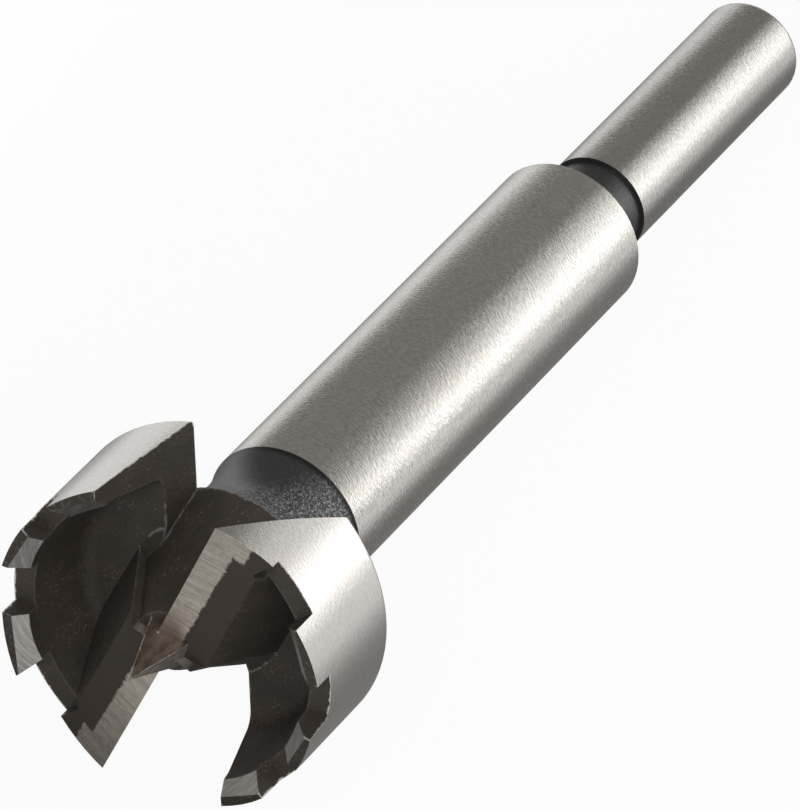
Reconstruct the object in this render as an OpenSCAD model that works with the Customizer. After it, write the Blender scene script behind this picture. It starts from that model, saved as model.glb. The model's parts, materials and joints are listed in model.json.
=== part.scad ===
// Forstner bit with a toothed rim, ground and turned from one piece of tool steel.
// It is drawn upright on its shank, tip up, and then laid down as it comes to rest.

/* [Shank] */
// Diameter of the shank that a chuck grips
shank_d = 8; // [6:0.1:10]
// Length of the ground shank
shank_len = 25.3; // [18:0.1:40]
// Rounding of the shank's free end
shank_round = 0.7; // [0.2:0.1:1.5]
// Diameter of the relief groove between shank and body
groove_d = 7.4; // [5:0.1:7.8]
// Length of the relief groove
groove_len = 4.4; // [2:0.1:8]

/* [Body] */
// Diameter of the thick body
body_d = 12; // [10:0.1:14]
// Length of the thick body
body_len = 42.2; // [25:0.1:70]
// Chamfer on the body's rear edge
body_chamfer = 0.35; // [0.1:0.05:0.8]

/* [Neck] */
// Length of the waisted neck between body and head
neck_len = 7.6; // [6:0.1:12]
// Radius of the waist's hollow
neck_waist_r = 8.2; // [7.5:0.1:14]

/* [Head] */
// Cutting diameter
head_d = 25; // [22:0.1:35]
// Height of the head from its back to the floor of the rim notches
head_h = 8.2; // [7:0.1:12]
// Rounding of the head's rear edge
head_round = 0.5; // [0.2:0.05:1]
// Thickness of the web under the pockets
web_t = 3.2; // [2:0.1:4.5]
// Thickness of the rim at the floor of its notches
rim_t = 1.65; // [1.2:0.05:2.2]
// Draft of the rim's inner wall below the notches, in degrees
wall_draft = 13; // [5:0.5:18]
// Fillet between the pocket's floor and its walls
pocket_fillet = 1.2; // [0.5:0.1:1.5]

/* [Core and spur] */
// Diameter of the conical core at the back of the head
core_d = 14; // [12.5:0.1:15]
// Slope of the core's side to the axis, in degrees
core_slope = 27.6; // [24:0.2:28.4]
// Height of the core's flat top above the floor of the notches
core_top_h = 0.6; // [0.2:0.1:0.8]
// Height of the centre spur's tip above the floor of the notches
spur_h = 5.86; // [4:0.02:8]
// Slope of the spur's two facets that face along the lips, in degrees
spur_end_slope = 12; // [8:0.5:16]
// Slope of the spur's two facets that face across the lips, in degrees
spur_side_slope = 17.8; // [12:0.2:20]
// Turn of the spur against the lips, in degrees
spur_turn = 7.3; // [0:0.1:15]

/* [Lips] */
// Height of a lip's outer corner above the floor of the notches
lip_h = 1.8; // [1:0.05:2.4]
// Distance of the cutting edge ahead of the axis
lip_lead = 1.02; // [0.6:0.02:1.4]
// Rake of the lip's face, in degrees
lip_rake = 30.8; // [20:0.2:35]
// Relief behind the cutting edge, in degrees
lip_relief = 12; // [6:0.5:18]
// Fall of the cutting edge from the rim towards the centre, in degrees
lip_fall = 2; // [0:0.1:4]
// Width of the lip's top
lip_w = 3.55; // [2.5:0.05:4.5]
// Slope of the lip's back into the pocket, in degrees
lip_back_slope = 27; // [15:0.5:35]

/* [Gullets] */
// Angle from the lip's line to the end of the rim segment ahead of it, in degrees
gullet_end = 49.1; // [44:0.1:54]
// Direction that the segment's flat end faces, from the lip's line, in degrees
gullet_face = -61.5; // [-70:0.5:-50]
// Lean of that end against the axis, in degrees
gullet_lean = 11.6; // [6:0.1:16]

/* [Teeth] */
// Height of a tooth's leading tip above the floor of the notches
tooth_h = 2.3; // [1.5:0.05:3]
// Width of the flat land on top of a tooth
tooth_land = 0.45; // [0.2:0.05:0.9]
// Slope of the ground bevel on the inside of a tooth, in degrees
tooth_bevel = 45; // [35:1:60]
// Fall of a tooth's top towards its trailing end, in degrees
tooth_fall = 6.5; // [3:0.5:10]
// Where the three notches of a rim segment start, behind the lip's line, in degrees
notch_start = [16.5, 58.5, 94.7]; // [10:0.1:130]
// How far each notch reaches round the rim, in degrees
notch_span = [20, 17.3, 15.7]; // [10:0.1:24]
// Lean of the tooth face behind each notch, in degrees
tooth_lean = [0, 14, 8]; // [0:1:20]

/* [Hidden] */
$fn = 96;

// Overlap of solids that are joined, and the run of a cut past the surface that it cuts
joint_lap = 0.5;
cut_run = 1;

shank_r = shank_d / 2;
body_r = body_d / 2;
head_r = head_d / 2;
core_r = core_d / 2;

// Heights above the shank's free end
body_z = shank_len + groove_len;
neck_z = body_z + body_len;
head_z = neck_z + neck_len;
floor_z = head_z + web_t;
notch_z = head_z + head_h;
tooth_z = notch_z + tooth_h;
lip_z = notch_z + lip_h;
core_top_z = notch_z + core_top_h;
tip_z = notch_z + spur_h;

// The neck's hollow ends just behind the head, where the core's cone starts
core_back = 0.12;
core_z = head_z - core_back;
function core_r_at(z) = core_r - tan(core_slope) * (z - core_z);

// The pockets reach a little under the core's skin, and the core fills the ring of the head
skin_lap = 0.04;
core_foot_r = core_r_at(floor_z) - skin_lap;
ring_r = core_r_at(floor_z + pocket_fillet) - joint_lap;

// Radius of the rim's inner wall at the notches and where its draft meets the pocket's floor
rim_in_r = head_r - rim_t;
wall_foot_r = rim_in_r - tan(wall_draft) * (notch_z - floor_z);

// Distance from a corner to where its fillet touches, for a wall at some slope to the axis
function fillet_run(slope) = pocket_fillet / tan((90 + slope) / 2);

// A tooth reaches from the end of one notch to the start of the next, and the last to the gullet
notch_end = [for (i = [0:2]) notch_start[i] + notch_span[i]];
tooth_end = [notch_start[1], notch_start[2], 180 - gullet_end];
function chord(angle) = 2 * head_r * sin(angle / 2);
last_tooth_fall = chord(tooth_end[2] - notch_end[2]) * tan(tooth_fall);
segment_end_z = tooth_z - last_tooth_fall;

// Corners where a segment's flat end meets the outer wall, at its top and at its rear edge
rim_corner = [head_r * cos(gullet_end), head_r * sin(gullet_end), segment_end_z];
rear_z = head_z + head_round;
rear_shift = tan(gullet_lean) * (segment_end_z - rear_z) / head_r;
rear_end = gullet_face + acos(cos(gullet_end - gullet_face) + rear_shift);

// The bit lies on a lip's corner, on the rear corner of the segment ahead and on its shank's end.
// The tilt solves side * cos(tilt) + run * sin(tilt) = shank_round.
corner_1 = asin(lip_lead / head_r);
corner_2 = rear_end;
corner_mid = (corner_1 + corner_2) / 2;
corner_span = 2 * head_r * sin((corner_2 - corner_1) / 2);
function rest_tilt(down) =
    let (side = head_r * cos(down - corner_1) - shank_r + shank_round, run = lip_z - shank_round)
    atan2(run, side) - acos(shank_round / norm([side, run]));
function settled(down, steps) =
    steps == 0 ? down
    : settled(corner_mid + asin(tan(rest_tilt(down)) * (lip_z - rear_z) / corner_span), steps - 1);
rest_down = settled(corner_mid, 8);
rest_angle = rest_tilt(rest_down);
rest_h = head_r * cos(rest_down - corner_1) * cos(rest_angle) + lip_z * sin(rest_angle);
rest_tip_x = tip_z * cos(rest_angle);
rest_end_x = (shank_r - shank_round) * sin(rest_angle) - shank_round * (1 - cos(rest_angle));

// Extrudes an outline drawn in Y and Z along X, from one place to another
module along_x(from, to) {
    translate([from, 0, 0]) rotate([90, 0, 90]) linear_extrude(to - from) children();
}

// Repeats a shape half a turn round the axis
module both_sides() {
    for (turn = [0, 180]) rotate([0, 0, turn]) children();
}

// Shank, groove, body, neck and core, turned in one
module stem() {
    neck_rise = [core_r - body_r, core_z - neck_z];
    neck_side = sqrt(pow(neck_waist_r, 2) - pow(norm(neck_rise) / 2, 2)) / norm(neck_rise);
    waist = [body_r, neck_z] + neck_rise / 2 + neck_side * [neck_rise[1], -neck_rise[0]];
    rotate_extrude() union() {
        difference() {
            polygon([
                [0, 0],
                [shank_r - shank_round, 0],
                [shank_r - shank_round, shank_round],
                [shank_r, shank_round],
                [shank_r, shank_len],
                [groove_d / 2, shank_len],
                [groove_d / 2, body_z],
                [body_r - body_chamfer, body_z],
                [body_r, body_z + body_chamfer],
                [body_r, neck_z],
                [core_r, core_z],
                [core_r_at(core_top_z), core_top_z],
                [0, core_top_z]
            ]);
            translate(waist) circle(neck_waist_r);
        }
        translate([shank_r - shank_round, shank_round]) circle(shank_round);
    }
}

// Section of the channel that the pockets share, between core and rim, with a round bottom
module pocket_section() {
    wall_run = fillet_run(wall_draft);
    core_run = fillet_run(core_slope);
    core_side_z = floor_z + core_run * cos(core_slope);
    polygon([
        [core_foot_r + core_run, floor_z],
        [wall_foot_r - wall_run, floor_z],
        [wall_foot_r + wall_run * sin(wall_draft), floor_z + wall_run * cos(wall_draft)],
        [rim_in_r, notch_z],
        [rim_in_r, tooth_z + cut_run],
        [0, tooth_z + cut_run],
        [0, core_side_z],
        [core_foot_r - core_run * sin(core_slope), core_side_z]
    ]);
    translate([wall_foot_r - wall_run, floor_z + pocket_fillet]) circle(pocket_fillet);
}

// Ring of web and rim before the notches and gullets are cut
module head_blank() {
    high = tooth_z - head_z;
    rotate_extrude() difference() {
        union() {
            translate([ring_r, head_z]) square([head_r - head_round - ring_r, high]);
            translate([ring_r, head_z + head_round]) square([head_r - ring_r, high - head_round]);
            translate([head_r - head_round, head_z + head_round]) circle(head_round);
        }
        pocket_section();
    }
}

// The three notches of one rim segment, each milled along the radius at its middle
module notches() {
    for (i = [0:2]) {
        half = chord(notch_span[i]) / 2;
        depth = tooth_h + cut_run;
        rotate([0, 0, -(notch_start[i] + notch_end[i]) / 2]) translate([0, 0, notch_z])
            along_x(rim_in_r - joint_lap, head_r + cut_run) polygon([
                [half, 0],
                [half, depth],
                [-half - depth * tan(tooth_lean[i]), depth],
                [-half, 0]
            ]);
    }
}

// Grinds the falling tops and the inner bevels of one segment's three teeth
module tooth_grinding() {
    for (i = [0:2]) {
        reach = chord(tooth_end[i] - notch_end[i]) + cut_run;
        rotate([0, 0, -notch_end[i]]) translate([rim_in_r - joint_lap, 0, tooth_z]) rotate([tooth_fall, 0, 0])
            translate([0, -reach, 0]) cube([head_r, reach + cut_run, tooth_h]);
        rotate([0, 0, -(notch_end[i] + tooth_end[i]) / 2]) translate([head_r - tooth_land, 0, tooth_z])
            rotate([90, 0, 0]) linear_extrude(reach + 2 * cut_run, center = true) polygon([
                [0, 0],
                [cut_run / tan(tooth_bevel), cut_run],
                [-rim_t, cut_run],
                [-rim_t, -rim_t * tan(tooth_bevel)]
            ]);
    }
}

// Space between one lip's rake face and the flat end of the segment ahead
module gullet() {
    face_low = head_z - cut_run;
    face_high = tip_z;
    reach = 2 * head_r;
    intersection() {
        along_x(0, reach) polygon([
            [lip_lead - tan(lip_rake) * (lip_z - face_low), face_low],
            [reach, face_low],
            [reach, face_high],
            [lip_lead + tan(lip_rake) * (face_high - lip_z), face_high]
        ]);
        translate(rim_corner) rotate([0, 0, gullet_face]) rotate([0, -gullet_lean, 0])
            translate([0, -reach, -reach]) cube(2 * reach);
    }
}

// Blade behind one cutting edge, from the core into the rim, before its face and top are ground
module lip_blade() {
    foot_z = floor_z - web_t / 2;
    high_z = lip_z + cut_run;
    back_y = lip_lead - lip_w;
    front_y = lip_lead + cut_run;
    intersection() {
        along_x(0, head_r) polygon([
            [front_y, high_z],
            [back_y, high_z],
            [back_y, lip_z],
            [back_y - tan(lip_back_slope) * (lip_z - foot_z), foot_z],
            [front_y, foot_z]
        ]);
        cylinder(r = head_r - rim_t / 2, h = tip_z);
    }
}

// Grinds the relief behind one cutting edge, on the blade and on the rim up to the first notch
module lip_grinding() {
    back_run = lip_lead + head_r * sin((notch_start[0] + notch_end[0]) / 2);
    front_run = 4 * cut_run;
    fall_tan = tan(lip_relief);
    translate([head_r, lip_lead, lip_z]) rotate([0, -lip_fall, 0])
        along_x(-head_r, cut_run) polygon([
            [-back_run, -back_run * fall_tan],
            [front_run, front_run * fall_tan],
            [front_run, tooth_h],
            [-back_run, tooth_h]
        ]);
}

// Four-sided centre point, where two wedges cross
module spur() {
    root_z = core_top_z - joint_lap;
    rise = tip_z - root_z;
    module wedge(slope) {
        half = rise * tan(slope);
        along_x(-core_r, core_r) polygon([[-half, root_z], [half, root_z], [0, tip_z]]);
    }
    rotate([0, 0, spur_turn]) intersection() {
        wedge(spur_side_slope);
        rotate([0, 0, 90]) wedge(spur_end_slope);
    }
}

module head() {
    difference() {
        union() {
            head_blank();
            both_sides() lip_blade();
        }
        both_sides() {
            gullet();
            lip_grinding();
            notches();
            tooth_grinding();
        }
    }
}

module bit_upright() {
    stem();
    head();
    spur();
}

module forstner_bit() {
    color("silver")
        translate([(rest_tip_x + rest_end_x) / 2, 0, rest_h])
        rotate([0, 0, 180]) rotate([0, 90 + rest_angle, 0]) rotate([0, 0, -rest_down])
        bit_upright();
}

forstner_bit();
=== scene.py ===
"""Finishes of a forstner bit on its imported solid, with a plain studio stage."""

import json
import math

import bmesh
import bpy
from bpy.props import FloatProperty, FloatVectorProperty, PointerProperty
from bpy.types import Operator, Panel, PropertyGroup
from mathutils import Matrix, Quaternion, Vector, kdtree


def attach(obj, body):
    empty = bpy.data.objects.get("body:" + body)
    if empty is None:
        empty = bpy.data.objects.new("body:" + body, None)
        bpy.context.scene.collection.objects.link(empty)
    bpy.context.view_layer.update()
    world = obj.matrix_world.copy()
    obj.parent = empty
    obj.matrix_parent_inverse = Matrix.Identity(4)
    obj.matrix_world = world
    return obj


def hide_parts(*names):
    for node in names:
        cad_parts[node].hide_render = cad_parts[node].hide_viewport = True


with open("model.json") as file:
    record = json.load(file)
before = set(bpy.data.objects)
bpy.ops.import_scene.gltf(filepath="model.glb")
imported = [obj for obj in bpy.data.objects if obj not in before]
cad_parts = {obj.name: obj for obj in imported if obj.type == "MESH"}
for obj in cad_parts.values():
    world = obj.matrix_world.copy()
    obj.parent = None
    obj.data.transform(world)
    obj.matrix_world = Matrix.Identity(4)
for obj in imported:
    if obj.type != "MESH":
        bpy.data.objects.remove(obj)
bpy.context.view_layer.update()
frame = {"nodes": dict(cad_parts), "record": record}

bl_info = {
    "name": "Forstner bit",
    "version": (1, 0, 0),
    "blender": (4, 5, 0),
    "location": "View3D > Sidebar > Forstner bit",
    "description": "Dresses the packed forstner bit in ground and oxide steel",
    "category": "Object",
}

MM = 0.001
NODE = "forstner_bit"
PLACE = "bit_place"
EDGE_GAP = "edge_gap"
NORMAL = "kept_normal"
SHARP = math.radians(28)  # faces that meet at more than this keep a hard edge
WELD = 2e-6  # loose corners this close, in m, are one
EDGE_STEP = 0.08  # spacing of the measured points along a brightened edge, in mm
SPUR_REACH = 2.6  # no facet of the spur lies further from the axis, in mm
SPUR_SLOPES = (0.19, 0.25, 0.33)  # up-parts of a facet's normal: steep end below, side above
TOOTH_ARC = (30, 150)  # degrees behind a lip between which a rim segment has its teeth
RIDGE_ARC = (38, 75)  # degrees ahead of a lip where a segment's end meets the core
RIDGE_REACH = (4.6, 7.6)  # how far from the axis that ridge lies, in mm
RIM_SQUARE = (138.0, 148.0)  # square of the distance from the axis where the rim begins, in mm
LIT_FLANK = (-0.64, 0.77)  # the neck's pitted flank that faces the lamps, along the lip and ahead of it, where glints are painted
FLOOR_REACH = 4.0  # half the floor's side, in m
AXIS_HEIGHT = 0.00825  # height of the bit's axis above the floor at the origin, in m
AXIS_FALL = 0.0932  # how far the axis falls for each metre towards the shank
AXIS_REACH = 0.06  # past this place towards the shank, in m, it falls no further
BRIGHT = (0.66, 0.64, 0.61)  # steel rubbed bare along an edge, and the painted highlight of a rounded edge


class BitSettings(PropertyGroup):
    """Where the bit's sections lie along its axis, and how finely its skin is split"""

    mount_height: FloatProperty(
        name="Mount height",
        description="Height of the shank mount's point above the shank's end, in mm",
        default=12.65,
    )
    roll: FloatProperty(
        name="Roll",
        description="Angle from the lip's line to the side that lies down, in degrees",
        default=15.5,
    )
    shank_end: FloatProperty(
        name="Shank",
        description="Where the shank ends, in mm",
        default=25.3,
    )
    groove_end: FloatProperty(
        name="Groove",
        description="Where the groove ends, in mm",
        default=29.7,
    )
    body_end: FloatProperty(
        name="Body",
        description="Where the body ends, in mm",
        default=71.9,
    )
    head_start: FloatProperty(
        name="Head",
        description="Back of the head, in mm",
        default=79.5,
    )
    notch_floor: FloatProperty(
        name="Notch floor",
        description="Floor of the rim notches, in mm",
        default=87.7,
    )
    head_radius: FloatProperty(
        name="Head radius",
        description="Cutting radius, in mm",
        default=12.5,
    )
    fine_mesh: FloatProperty(
        name="Fine mesh",
        description="Longest edge of the skin on the head, in mm",
        default=0.45,
    )
    coarse_mesh: FloatProperty(
        name="Coarse mesh",
        description="Longest edge of the skin elsewhere, in mm",
        default=2.5,
    )


class FinishSettings(PropertyGroup):
    """Colours of the finishes"""

    ground: FloatVectorProperty(
        name="Ground steel",
        description="Colour of the ground cylinders",
        subtype="COLOR",
        size=3,
        default=(0.588, 0.570, 0.547),
    )
    lip: FloatVectorProperty(
        name="Lip steel",
        description="Colour of the freshly ground lips",
        subtype="COLOR",
        size=3,
        default=(0.50, 0.455, 0.41),
    )
    oxide: FloatVectorProperty(
        name="Oxide",
        description="Colour of the black oxide on neck and groove",
        subtype="COLOR",
        size=3,
        default=(0.070, 0.0703, 0.0725),
    )
    scale: FloatVectorProperty(
        name="Furnace scale",
        description="Colour of the brown-black skin inside the head",
        subtype="COLOR",
        size=3,
        default=(0.044, 0.035, 0.0275),
    )


class StageSettings(PropertyGroup):
    """Camera and light of the studio"""

    azimuth: FloatProperty(
        name="Azimuth",
        description="Camera's direction from the bit, in degrees",
        default=-156.763,
    )
    elevation: FloatProperty(
        name="Elevation",
        description="Camera's height above the horizon, in degrees",
        default=43.444,
    )
    roll: FloatProperty(
        name="Roll",
        description="Turn of the camera, in degrees",
        default=-9.608,
    )
    distance: FloatProperty(
        name="Distance",
        description="From the camera to its aim",
        default=0.646928,
        unit="LENGTH",
    )
    aim: FloatVectorProperty(
        name="Aim",
        description="Point that the camera looks at",
        subtype="TRANSLATION",
        size=3,
        default=(-0.00758, 0.0004, 0.008),
    )
    lens: FloatProperty(
        name="Lens",
        description="Focal length in mm",
        default=404.11,
    )


class Value:
    """A shader socket that takes part in Python expressions"""

    def __init__(self, shade, socket):
        self.shade = shade
        self.socket = socket

    def math(self, operation, *others):
        return self.shade.node("ShaderNodeMath", {"operation": operation}, (self, *others))

    def __add__(self, other):
        return self.math("ADD", other)

    def __sub__(self, other):
        return self.math("SUBTRACT", other)

    def __mul__(self, other):
        return self.math("MULTIPLY", other)

    def __truediv__(self, other):
        return self.math("DIVIDE", other)

    def __radd__(self, other):
        return self.math("ADD", other)

    def __rmul__(self, other):
        return self.math("MULTIPLY", other)

    def __rsub__(self, other):
        return self.shade.node("ShaderNodeMath", {"operation": "SUBTRACT"}, (other, self))

    def step(self, low, high):
        """0 below low, 1 above high and smooth between"""
        return self.shade.node(
            "ShaderNodeMapRange",
            {"interpolation_type": "SMOOTHSTEP"},
            {"Value": self, "From Min": low, "From Max": high},
            "Result",
        )


class Shade:
    """The nodes of a material or of the world, built by one method"""

    def __init__(self, tree):
        self.tree = tree
        tree.nodes.clear()

    def node(self, kind, settings=None, inputs=None, output=0):
        """Adds a node with its settings, then its sockets' values or links, and gives an output"""
        made = self.tree.nodes.new(kind)
        for name, value in (settings or {}).items():
            setattr(made, name, value)
        pairs = inputs.items() if isinstance(inputs, dict) else enumerate(inputs or ())
        for key, value in pairs:
            if isinstance(value, Value):
                self.tree.links.new(value.socket, made.inputs[key])
            elif value is not None:
                made.inputs[key].default_value = value
        return Value(self, made.outputs[output]) if made.outputs else None

    def ray(self, kind):
        return self.node("ShaderNodeLightPath", output=kind)

    def place(self):
        """Place on the bit in mm: along the lip, ahead of it, and up from the shank's end"""
        return self.node("ShaderNodeAttribute", {"attribute_name": PLACE}, output="Vector")

    def split(self, vector):
        parts = self.node("ShaderNodeSeparateXYZ", None, (vector,))
        return [Value(self, out) for out in parts.socket.node.outputs]

    def stretched(self, vector, scale):
        return self.node("ShaderNodeMapping", None, {"Vector": vector, "Scale": scale})

    def noise(self, vector, scale, detail=3.0, rough=0.55):
        return self.node(
            "ShaderNodeTexNoise",
            None,
            {"Vector": vector, "Scale": scale, "Detail": detail, "Roughness": rough},
            "Fac",
        )

    def mix(self, factor, first, second):
        def colour(c):
            return c if isinstance(c, Value) else (*c, 1.0)

        return self.node(
            "ShaderNodeMix",
            {"data_type": "RGBA"},
            {0: factor, 6: colour(first), 7: colour(second)},
            2,
        )

    def bump(self, height, strength, distance):
        return self.node(
            "ShaderNodeBump",
            None,
            {"Height": height, "Strength": strength, "Distance": distance},
        )

    def wear_and_highlight(self, place, width, inside, outside=1.0):
        """Where an edge is brightened, partly rubbed bare and partly a painted highlight: close to
        it, broken up, and fainter inside the rim
        """
        gap = self.node("ShaderNodeAttribute", {"attribute_name": EDGE_GAP}, output="Fac")
        broken = self.noise(place, 1.7, 2.0, 0.7)
        brightened = 1.0 - (gap + (broken - 0.42) * width * 2.4).step(width * 0.35, width)
        x, y, _ = self.split(place)
        rim = (x * x + y * y).step(*RIM_SQUARE)
        return brightened * (inside + rim * (outside - inside))

    def finish(self, **inputs):
        """Ends a material in one Principled shader"""
        names = {
            "colour": "Base Color",
            "rough": "Roughness",
            "metal": "Metallic",
            "normal": "Normal",
        }
        sockets = {names[key]: value for key, value in inputs.items()}
        self.out(self.node("ShaderNodeBsdfPrincipled", None, sockets))

    def out(self, shader, kind="Material"):
        self.node("ShaderNodeOutput" + kind, None, {"Surface": shader})


def new_material(name):
    material = bpy.data.materials.new(name)
    material.use_nodes = True
    return material, Shade(material.node_tree)


def tinted(colour, factor):
    return tuple(c * factor for c in colour)


def ground_steel(colour, b):
    """Cylindrically ground steel: short marks round the axis, a satin gloss, and a shank painted
    darker as shade
    """
    material, s = new_material("ground_steel")
    place = s.place()
    marks = s.noise(s.stretched(place, (2.8, 2.8, 10.0)), 1.0, 2.0, 0.6)
    cloud = s.noise(place, 0.35, 2.0)
    _, _, up = s.split(place)
    # painted shade: the shank's colour is mixed 30 percent towards a darker copy, to hold back the
    # brighter reflections it gets
    shank = 1.0 - up.step(b.shank_end, b.groove_end)
    grain = 1.0 - up.step(b.body_end, b.head_start) * 0.5
    tone = 0.5 + (marks.step(0.30, 0.70) - 0.5) * grain
    skin = s.mix(tone, tinted(colour, 0.80), tinted(colour, 1.12))
    warm = s.mix(cloud.step(0.42, 0.68) * 0.25, skin, (0.56, 0.52, 0.47))
    s.finish(
        colour=s.mix(shank * 0.3, warm, tinted(colour, 0.58)),
        metal=1.0,
        rough=0.14 + cloud * 0.06 + marks * 0.05,
        normal=s.bump(marks * grain, 0.9, 0.00003),
    )
    return material


def neck_oxide(colour, b):
    """Black oxide, pitted on one flank and towards the head with painted glints on that flank, and
    darkest beside the body as painted shade
    """
    material, s = new_material("neck_oxide")
    place = s.place()
    x, y, up = s.split(place)
    pits = s.noise(place, 4.4, 3.0, 0.6)
    grit = s.noise(place, 7.5, 2.0, 0.7)
    cloud = s.noise(place, 0.5, 2.0)
    flank = x * LIT_FLANK[0] + y * LIT_FLANK[1]
    past_body = (up - b.body_end).math("MAXIMUM", 0.0)
    reach = flank * 0.8 + past_body * 0.45 + (cloud - 0.5) * 1.5
    pitted = reach.step(2.7, 5.3)
    # painted glints: pit tops, mostly on the flank that faces the lamps, get a colour 5.6 times
    # lighter
    painted_glints = (pits * 0.6 + grit * 0.4).step(0.45, 0.60) * (0.06 + pitted * 0.94)
    skin = s.mix(painted_glints, colour, tinted(colour, 5.6))
    # painted shade: a narrow band of the neck where it meets the body is darkened to 0.4 of its
    # colour
    shade = 1.0 - up.step(b.body_end - 0.5, b.body_end) + past_body.step(0.15, 0.55)
    edge = s.wear_and_highlight(place, 0.05, 0.15)
    dark = s.mix(shade, tinted(colour, 0.4), skin)
    s.finish(
        colour=s.mix(edge, dark, BRIGHT),
        metal=0.72,
        rough=0.34 + cloud * 0.06 - pitted * 0.18,
        normal=s.bump(pits * (0.06 + pitted * 0.94), 1.0, 0.00026),
    )
    return material


def head_scale(colour, ground, b):
    """Brown-black furnace skin inside the head, with painted glints as flecks, pale rubs, edges
    partly worn and partly painted highlight, and a ground spur root
    """
    material, s = new_material("head_scale")
    place = s.place()
    x, y, up = s.split(place)
    grit = s.noise(place, 4.0, 3.0, 0.65)
    streak = s.noise(s.stretched(place, (2.2, 2.2, 0.35)), 1.0, 2.0, 0.6)
    cloud = s.noise(place, 0.45, 2.0)
    brown = s.mix(cloud.step(0.35, 0.7), colour, (0.056, 0.043, 0.034))
    brightened = s.mix((grit * 0.5 + streak * 0.5).step(0.58, 0.78), brown, (0.12, 0.107, 0.095))
    # painted glints: small pale flecks in the skin's colour, where the scale would sparkle
    glint_fleck = s.noise(place, 6.5, 1.0).step(0.67, 0.72) * cloud.step(0.42, 0.58)
    glint_flecked = s.mix(glint_fleck * 0.5, brightened, (0.34, 0.32, 0.30))
    past_core = (x * x + y * y).step(56.0, 62.0)
    # painted highlight: near the core, along the ridge where a segment's end meets it, the edge
    # brightening is made stronger
    ridge_highlight = (1.0 - past_core) * (1.0 - up.step(b.head_start + 3.1, b.head_start + 3.9))
    # edges: partly bare steel rubbed along them, partly a painted highlight, pale and barely
    # metallic so that they catch the lamps as a rounded edge would
    edge = s.wear_and_highlight(place, 0.17, 0.04 + ridge_highlight * 0.13, 0.85)
    above_floor = up.step(b.notch_floor + 0.62, b.notch_floor + 0.95)
    root = (1.0 - (x * x + y * y).step(3.2, 6.4)) * above_floor
    skin = s.mix(root, glint_flecked, tinted(ground, 0.58))
    s.finish(
        colour=s.mix(edge, skin, (0.82, 0.80, 0.77)),
        metal=0.12 + (edge * 0.3).math("MAXIMUM", root * 0.5),
        rough=0.50 + streak * 0.2 - edge * 0.2,
        normal=s.bump(grit, 0.45, 0.00014),
    )
    return material


def lip_steel(colour, dark):
    """Ground lip: bright behind the edge and on the rim with cross lines, scale further back,
    coloured darker than inside the head as painted shade
    """
    material, s = new_material("lip_steel")
    place = s.place()
    x, y, _ = s.split(place)
    side = x.math("SIGN")
    ahead = y * side
    lines = s.noise(s.stretched(place, (5.5, 0.35, 0.35)), 1.0, 3.0, 0.7)
    broad = s.noise(s.stretched(place, (1.4, 0.15, 0.15)), 1.0, 3.0)
    mottle = s.noise(place, 2.4, 4.0, 0.7)
    ragged = (mottle - 0.5) * 0.55
    band = (ahead + ragged).step(-1.08, -0.90)
    rim = ((x * x + y * y).math("SQRT") + ragged).step(10.75, 10.95)
    bright = band.math("MAXIMUM", rim * (ahead + ragged).step(-1.92, -1.72))
    inner = (x * x + y * y).step(3.0, 10.0)
    tone = 0.5 + (lines * 0.4 + broad * 0.3 + mottle * 0.3 - 0.5) * (0.4 + inner * 0.6)
    scratch = s.noise(s.stretched(place, (7.0, 0.22, 0.22)), 1.0, 1.0).step(0.64, 0.70)
    ground = s.mix(tone.step(0.34, 0.66), tinted(colour, 0.66), tinted(colour, 1.22))
    # darker towards the rim: mixed up to 30 percent towards half the colour
    outer = (x * x + y * y).step(20.0, 60.0)
    darker_to_rim = s.mix(outer * 0.3, ground, tinted(colour, 0.5))
    steel = s.mix(scratch * 0.55, darker_to_rim, tinted(colour, 0.30))
    grit = s.noise(place, 4.0, 4.0, 0.65)
    # painted shade: the scale on the lip is mostly coloured darker than inside the head, to hold
    # back the light from above
    scale_painted_darker = s.mix(grit.step(0.58, 0.8), (0.034, 0.0245, 0.018), tinted(dark, 1.4))
    edge = s.wear_and_highlight(place, 0.06, 0.2) * bright
    s.finish(
        colour=s.mix(edge, s.mix(bright, scale_painted_darker, steel), BRIGHT),
        metal=0.1 + bright * 0.9,
        rough=0.54 - bright * 0.16 + tone * 0.1,
        normal=s.bump(lines, 0.30, 0.00006),
    )
    return material


def bevel_steel(colour):
    """Hand-ground tooth bevels with scratches that run aslant round the rim"""
    material, s = new_material("bevel_steel")
    place = s.place()
    x, y, _ = s.split(place)
    turn = y.math("ARCTAN2", x)
    across = (x * x + y * y).math("SQRT") + turn * 3.0
    round_rim = s.node("ShaderNodeCombineXYZ", None, (across * 6.0, turn * 4.0, 0.0))
    scratch = s.noise(round_rim, 1.0, 4.0, 0.7)
    cloud = s.noise(place, 1.2, 3.0)
    skin = s.mix(scratch.step(0.30, 0.70), tinted(colour, 0.60), tinted(colour, 1.08))
    s.finish(
        colour=skin,
        metal=1.0,
        rough=0.30 + cloud * 0.14,
        normal=s.bump(scratch, 0.2, 0.00006),
    )
    return material


def land_steel(dark):
    """Dark land on a tooth, with rubbed places"""
    material, s = new_material("land_steel")
    place = s.place()
    grit = s.noise(place, 3.2, 3.0, 0.7)
    skin = s.mix(grit.step(0.50, 0.72), dark, (0.11, 0.10, 0.09))
    edge = s.wear_and_highlight(place, 0.05, 0.1, 0.2)
    s.finish(
        colour=s.mix(edge, skin, BRIGHT),
        metal=0.5 + edge * 0.5,
        rough=0.40 + grit * 0.15,
        normal=s.bump(grit, 0.2, 0.00008),
    )
    return material


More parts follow.
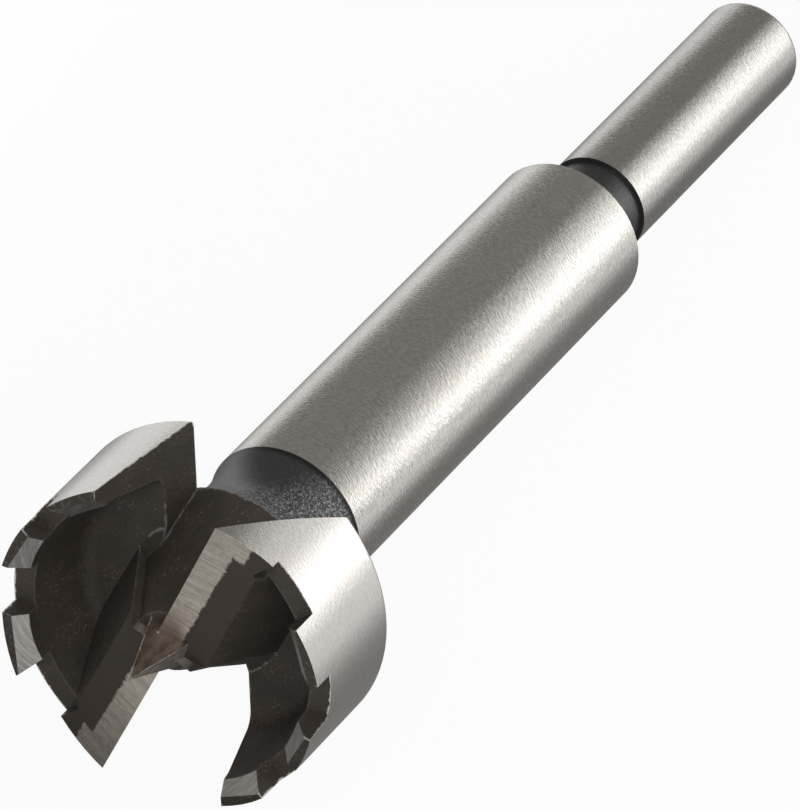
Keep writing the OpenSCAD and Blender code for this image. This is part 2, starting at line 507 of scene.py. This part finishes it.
def spur_steel(name, low, high):
    """Ground facet of the centre spur, browned by heat or left grey"""
    material, s = new_material(name)
    place = s.place()
    lines = s.noise(s.stretched(place, (2.0, 2.0, 0.7)), 1.0, 3.0, 0.6)
    skin = s.mix(lines.step(0.3, 0.7), low, high)
    edge = s.wear_and_highlight(place, 0.13, 0.8)
    s.finish(
        colour=s.mix(edge, skin, BRIGHT),
        metal=0.65 + edge * 0.35,
        rough=0.36 + lines * 0.14,
        normal=s.bump(lines, 0.2, 0.00005),
    )
    return material


def bit_frame(settings):
    """Matrix from the bit's own place, in mm upright on its shank, to the laid-down frame"""
    mount = frame["record"]["mounts"][0]
    up = -Vector(mount["axis"]).normalized()
    origin = Vector(mount["pos_m"]) - up * settings.mount_height * MM
    down = Vector((0, 0, -1))
    down = (down - up * down.dot(up)).normalized()
    along = Quaternion(up, math.radians(-settings.roll)) @ down
    ahead = up.cross(along)
    turn = Matrix((along, ahead, up)).transposed().to_4x4()
    return Matrix.Translation(origin) @ turn @ Matrix.Scale(MM, 4)


REGIONS = ("ground", "oxide", "scale", "lip", "bevel", "land", "spur_end", "spur_side")


def region_of(place, normal, b):
    """Which finish a face has, from where it lies on the bit and which way it looks"""
    radius = math.hypot(place.x, place.y)
    out = (normal.x * place.x + normal.y * place.y) / max(radius, 1e-6)
    if place.z < b.shank_end + 0.02:
        return "oxide" if place.z > b.shank_end - 0.05 and normal.z > 0.9 else "ground"
    if place.z < b.groove_end - 0.01 and radius < 3.9:
        return "oxide"
    if place.z < b.body_end + 0.02:
        return "ground"
    if place.z < b.head_start - 0.12:
        return "oxide"
    if radius > b.head_radius - 0.3 and out > 0.8:
        return "ground"
    steep, split, flat = SPUR_SLOPES
    on_spur = radius < SPUR_REACH and place.z > b.notch_floor + 0.55
    if on_spur and steep < normal.z < flat:
        return "spur_end" if normal.z < split else "spur_side"
    if radius < SPUR_REACH and normal.z > 0.995:
        return "scale"
    if place.z > b.notch_floor + 0.1:
        if out < -0.45 and 0.45 < normal.z < 0.9:
            return "bevel"
        if normal.z > 0.9:
            behind = -math.degrees(math.atan2(place.y, place.x)) % 180
            on_tooth = radius > b.head_radius - 2 and TOOTH_ARC[0] < behind < TOOTH_ARC[1]
            return "land" if on_tooth else "lip"
    return "scale"


def is_ridge(place, b):
    """Whether a place lies on the line where a segment's end meets the core"""
    ahead = math.degrees(math.atan2(place.y, place.x)) % 180
    near_core = RIDGE_REACH[0] < math.hypot(place.x, place.y) < RIDGE_REACH[1]
    in_arc = RIDGE_ARC[0] < ahead < RIDGE_ARC[1]
    return near_core and in_arc and place.z < b.head_start + 3.6


def joined_copy(to_place, b):
    """Copy of the solid's mesh, joined and with sharp edges marked, and its brightened edges, worn
    and with painted highlight
    """
    mesh = frame["nodes"][NODE].data.copy()
    mesh.name = "bit_skin"
    bm = bmesh.new()
    bm.from_mesh(mesh)
    bmesh.ops.remove_doubles(bm, verts=bm.verts, dist=WELD)
    brightened = []
    for face in bm.faces:
        face.smooth = True
    for edge in bm.edges:
        edge.smooth = not edge.is_manifold or edge.calc_face_angle() < SHARP
        ends = [vert.co.copy() for vert in edge.verts]
        # convex sharp edges get wear and painted highlight; the hollow ridge gets painted
        # highlight only
        if not edge.smooth and (edge.is_convex or is_ridge(to_place @ ends[0], b)):
            brightened.append(ends)
    bm.to_mesh(mesh)
    bm.free()
    return mesh, brightened


def refined(mesh, to_place, b):
    """Halves long edges, one of a face in each round, and carries the smooth normals along"""
    bm = bmesh.new()
    bm.from_mesh(mesh)
    kept = bm.loops.layers.float_vector.new(NORMAL)
    normals = [Vector(n.vector) for n in mesh.corner_normals]
    for face in bm.faces:
        for loop, index in zip(face.loops, mesh.polygons[face.index].loop_indices):
            loop[kept] = normals[index]

    def too_long(edge):
        height = (to_place @ ((edge.verts[0].co + edge.verts[1].co) / 2)).z
        limit = b.fine_mesh if height > b.head_start - 1 else b.coarse_mesh
        return edge.calc_length() > limit * MM

    long_edges = [edge for edge in bm.edges if too_long(edge)]
    while long_edges:
        touched, chosen = set(), []
        for edge in sorted(long_edges, key=lambda e: -e.calc_length()):
            if touched.isdisjoint(edge.link_faces):
                touched.update(edge.link_faces)
                chosen.append(edge)
        bmesh.ops.subdivide_edges(bm, edges=chosen, cuts=1, use_single_edge=True)
        long_edges = [edge for edge in bm.edges if too_long(edge)]
    bm.to_mesh(mesh)
    bm.free()
    spread = [Vector(n.vector).normalized() for n in mesh.attributes[NORMAL].data]
    mesh.normals_split_custom_set(spread)
    mesh.attributes.remove(mesh.attributes[NORMAL])


def edge_points(brightened):
    """Points along the brightened edges, worn and with painted highlight, for measuring how far a
    place is from one
    """
    points = []
    for first, last in brightened:
        count = max(1, round((last - first).length / (EDGE_STEP * MM)))
        points += [first.lerp(last, k / count) for k in range(count + 1)]
    tree = kdtree.KDTree(len(points))
    for index, point in enumerate(points):
        tree.insert(point, index)
    tree.balance()
    return tree


def dressed_mesh(b):
    """The bit's skin, with its place and its distance to an edge, and each face's finish"""
    to_place = bit_frame(b).inverted()
    turn = to_place.to_3x3().normalized()
    mesh, brightened = joined_copy(to_place, b)
    near_edge = edge_points(brightened)
    refined(mesh, to_place, b)
    places = [c for vert in mesh.vertices for c in to_place @ vert.co]
    gaps = [near_edge.find(vert.co)[2] / MM for vert in mesh.vertices]
    mesh.attributes.new(PLACE, "FLOAT_VECTOR", "POINT")
    mesh.attributes.new(EDGE_GAP, "FLOAT", "POINT")
    mesh.attributes[PLACE].data.foreach_set("vector", places)
    mesh.attributes[EDGE_GAP].data.foreach_set("value", gaps)
    regions = [
        REGIONS.index(region_of(to_place @ face.center, turn @ face.normal, b))
        for face in mesh.polygons
    ]
    return mesh, regions


class FORSTNER_OT_bit(Operator):
    """Dress a copy of the solid's skin in its finishes"""

    bl_idname = "forstner.bit"
    bl_label = "Bit"

    def execute(self, context):
        b = context.scene.forstner_bit
        c = context.scene.forstner_finish
        ground, lip, oxide, scale = (tuple(v) for v in (c.ground, c.lip, c.oxide, c.scale))
        finishes = {
            "ground": ground_steel(ground, b),
            "oxide": neck_oxide(oxide, b),
            "scale": head_scale(scale, lip, b),
            "lip": lip_steel(lip, scale),
            "bevel": bevel_steel(ground),
            "land": land_steel(scale),
            "spur_end": spur_steel("spur_brown", (0.085, 0.060, 0.045), (0.17, 0.135, 0.11)),
            "spur_side": spur_steel("spur_grey", tinted(lip, 0.50), tinted(lip, 0.72)),
        }
        mesh, regions = dressed_mesh(b)
        mesh.materials.clear()
        for name in REGIONS:
            mesh.materials.append(finishes[name])
        mesh.polygons.foreach_set("material_index", regions)
        bit = bpy.data.objects.new("bit", mesh)
        context.scene.collection.objects.link(bit)
        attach(bit, "root")
        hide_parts(NODE)
        return {"FINISHED"}


def floor_material():
    """Pale floor: white to the camera; as the steel reflects it, graded from dark near the bit, a
    painted shadow, to white further off
    """
    material, s = new_material("studio_floor")
    x, y, _ = s.split(s.node("ShaderNodeTexCoord", output="Object"))
    below_axis = AXIS_HEIGHT - x.math("MINIMUM", AXIS_REACH) * AXIS_FALL
    away = y.math("ABSOLUTE")
    aside = (away / below_axis).step(1.3, 6.2)
    ahead = (x * -1.0).step(0.046, 0.060)
    far = aside.math("MAXIMUM", ahead * 0.75)
    paint = s.node("ShaderNodeBsdfDiffuse", None, {"Color": (0.88, 0.88, 0.88, 1)})
    white = s.node("ShaderNodeEmission", None, {"Color": (1, 1, 1, 1), "Strength": 1.0})
    # painted shadow: the floor the steel reflects is dark grey near the bit and white further off
    reflected_with_painted_shadow = s.mix(far, (0.25, 0.243, 0.235), (1.0, 1.0, 0.99))
    shine = s.node("ShaderNodeEmission", None, {"Color": reflected_with_painted_shadow, "Strength": 1.0})
    clear = 0.94 + away.step(0.026, 0.060) * 0.06
    first = s.node("ShaderNodeMixShader", None, (s.ray("Is Camera Ray") * clear, paint, white))
    s.out(s.node("ShaderNodeMixShader", None, (s.ray("Is Glossy Ray"), first, shine)))
    return material


def soft_box(name, place, size, power):
    """A rectangular lamp that looks at the bit"""
    light = bpy.data.lights.new(name, "AREA")
    light.shape = "RECTANGLE"
    light.size, light.size_y = size
    light.energy = power
    lamp = bpy.data.objects.new(name, light)
    lamp.location = place
    lamp.rotation_mode = "QUATERNION"
    aim = Vector((0, 0, 0.01))
    lamp.rotation_quaternion = (aim - Vector(place)).to_track_quat("-Z", "Y")
    bpy.context.scene.collection.objects.link(lamp)


class FORSTNER_OT_stage(Operator):
    """Floor, light and the camera at the photograph's angle"""

    bl_idname = "forstner.stage"
    bl_label = "Stage"

    def execute(self, context):
        scene = context.scene
        t = scene.forstner_stage
        scene.view_settings.view_transform = "Standard"

        mesh = bpy.data.meshes.new("floor")
        r = FLOOR_REACH
        corners = [(-r, -r, 0), (r, -r, 0), (r, r, 0), (-r, r, 0)]
        mesh.from_pydata(corners, [], [(0, 1, 2, 3)])
        mesh.materials.append(floor_material())
        floor = bpy.data.objects.new("floor", mesh)
        scene.collection.objects.link(floor)

        world = bpy.data.worlds.new("studio")
        world.use_nodes = True
        s = Shade(world.node_tree)
        grey = s.mix(s.ray("Is Camera Ray"), (0.278, 0.267, 0.25), (1.0, 1.0, 1.0))
        s.out(s.node("ShaderNodeBackground", None, {"Color": grey, "Strength": 1.0}), "World")
        scene.world = world

        soft_box("softbox_right", (1.55, -1.17, 0.38), (1.85, 0.76), 5.8)
        soft_box("softbox_glow", (1.57, -1.18, 0.72), (1.95, 1.46), 6.3)
        soft_box("strip_left", (1.5, 1.45, 0.06), (1.8, 0.14), 0.75)
        soft_box("fill_front", (-0.56, -0.32, 0.77), (0.8, 0.8), 5)

        camera = bpy.data.cameras.new("camera")
        camera.lens = t.lens
        camera.sensor_width = 36
        camera.clip_start, camera.clip_end = 0.01, 20
        eye = bpy.data.objects.new("camera", camera)
        a, e = math.radians(t.azimuth), math.radians(t.elevation)
        back = Vector((math.cos(a) * math.cos(e), math.sin(a) * math.cos(e), math.sin(e)))
        eye.location = Vector(t.aim) + back * t.distance
        eye.rotation_mode = "QUATERNION"
        level = (-back).to_track_quat("-Z", "Y")
        eye.rotation_quaternion = level @ Quaternion((0, 0, -1), math.radians(t.roll))
        scene.collection.objects.link(eye)
        scene.camera = eye
        return {"FINISHED"}


class FORSTNER_PT_panel(Panel):
    """Sizes, colours and the steps that use them"""

    bl_label = "Forstner bit"
    bl_idname = "FORSTNER_PT_panel"
    bl_space_type = "VIEW_3D"
    bl_region_type = "UI"
    bl_category = "Forstner bit"

    def draw(self, context):
        for name in SETTINGS:
            group = getattr(context.scene, name)
            box = self.layout.box()
            for prop in group.bl_rna.properties:
                if prop.identifier not in {"rna_type", "name"}:
                    box.prop(group, prop.identifier)
        for step in STEPS:
            self.layout.operator(step.bl_idname)


SETTINGS = {
    "forstner_bit": BitSettings,
    "forstner_finish": FinishSettings,
    "forstner_stage": StageSettings,
}
STEPS = (FORSTNER_OT_bit, FORSTNER_OT_stage)
CLASSES = (*SETTINGS.values(), *STEPS, FORSTNER_PT_panel)


def register():
    for cls in CLASSES:
        bpy.utils.register_class(cls)
    for name, group in SETTINGS.items():
        setattr(bpy.types.Scene, name, PointerProperty(type=group))


def unregister():
    for name in SETTINGS:
        delattr(bpy.types.Scene, name)
    for cls in reversed(CLASSES):
        bpy.utils.unregister_class(cls)


def main():
    register()
    bpy.ops.forstner.bit()
    bpy.ops.forstner.stage()


if __name__ == "__main__":
    main()
